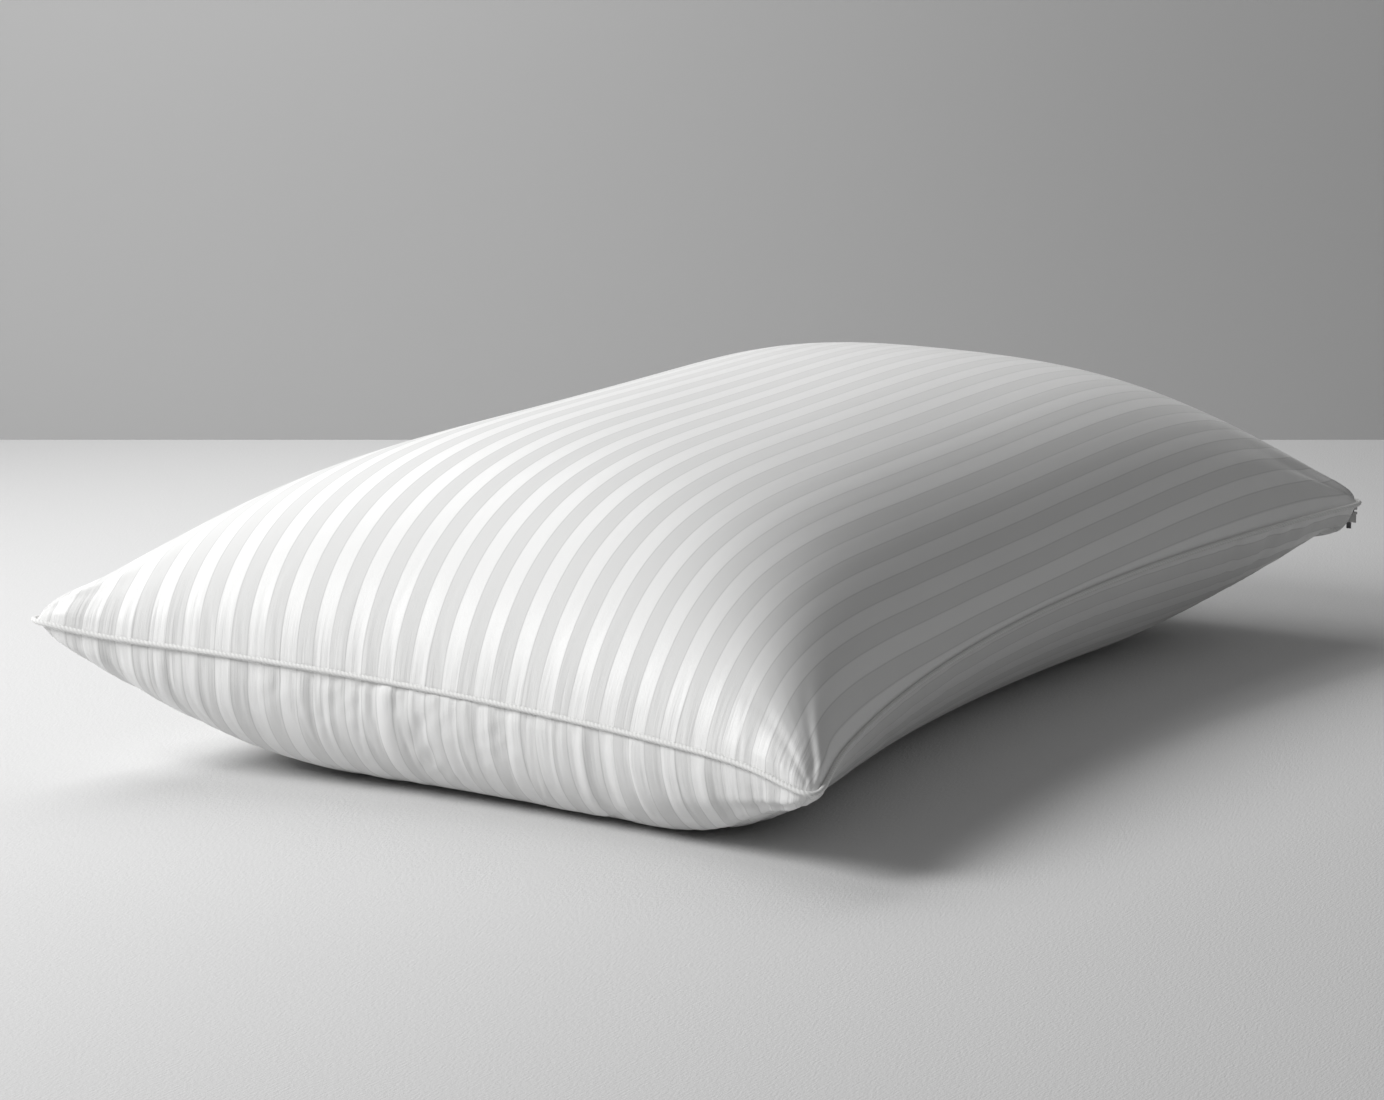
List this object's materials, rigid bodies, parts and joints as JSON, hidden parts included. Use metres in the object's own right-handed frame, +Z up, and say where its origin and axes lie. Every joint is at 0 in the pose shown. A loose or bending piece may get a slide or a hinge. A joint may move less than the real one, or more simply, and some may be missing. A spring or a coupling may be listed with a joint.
{
  "type": "bed pillow",
  "caption": "Plump rectangular bed pillow with a striped sateen cover, piped edges pulled in between eared corners, and an end zip.",
  "frame": {"origin": "middle of the pillow on the surface that it rests on", "axes": "+X along the long side towards the zip end, +Y across the pillow, +Z up"},
  "size_m": [0.6989, 0.4774, 0.1816],
  "materials": {
    "sateen_stripe": "white cotton sateen with satin and matt stripes of 10 mm",
    "piping_cloth": "white cotton twill cut on the bias",
    "cotton_cord": "twisted cotton cord",
    "thread": "white spun polyester sewing thread",
    "ticking": "plain down-proof cotton ticking",
    "fibre": "lofted polyester fibre",
    "zip_tape": "white woven polyester tape",
    "zip_coil": "white nylon coil",
    "zip_metal": "dark nickel-plated zinc"
  },
  "bodies": {
    "cover": {"cover_top_panel": "sateen_stripe", "cover_bottom_panel": "sateen_stripe", "piping_sleeve": "piping_cloth", "piping_cord": "cotton_cord", "edge_seam_thread": "thread", "liner_top_panel": "ticking", "liner_bottom_panel": "ticking", "liner_seam_thread": "thread", "fibre_fill": "fibre", "zipper_upper_tape": "zip_tape", "zipper_lower_tape": "zip_tape", "zipper_upper_coil": "zip_coil", "zipper_lower_coil": "zip_coil", "zipper_top_stops": "zip_metal", "zipper_bottom_stop": "zip_metal", "zipper_stitching": "thread"},
    "slider": {"zipper_slider": "zip_metal"},
    "pull": {"zipper_pull": "zip_metal"}
  },
  "joints": [
    {"name": "zip_slide", "type": "slide", "parent": "cover", "child": "slider", "axis": [0, 1, 0], "range_m": [0, 0.4506]},
    {"name": "pull_swing", "type": "hinge", "parent": "slider", "child": "pull", "pos_m": [0.3487, -0.2253, 0.074], "axis": [0, -1, 0], "range_deg": [0, 120]}
  ]
}
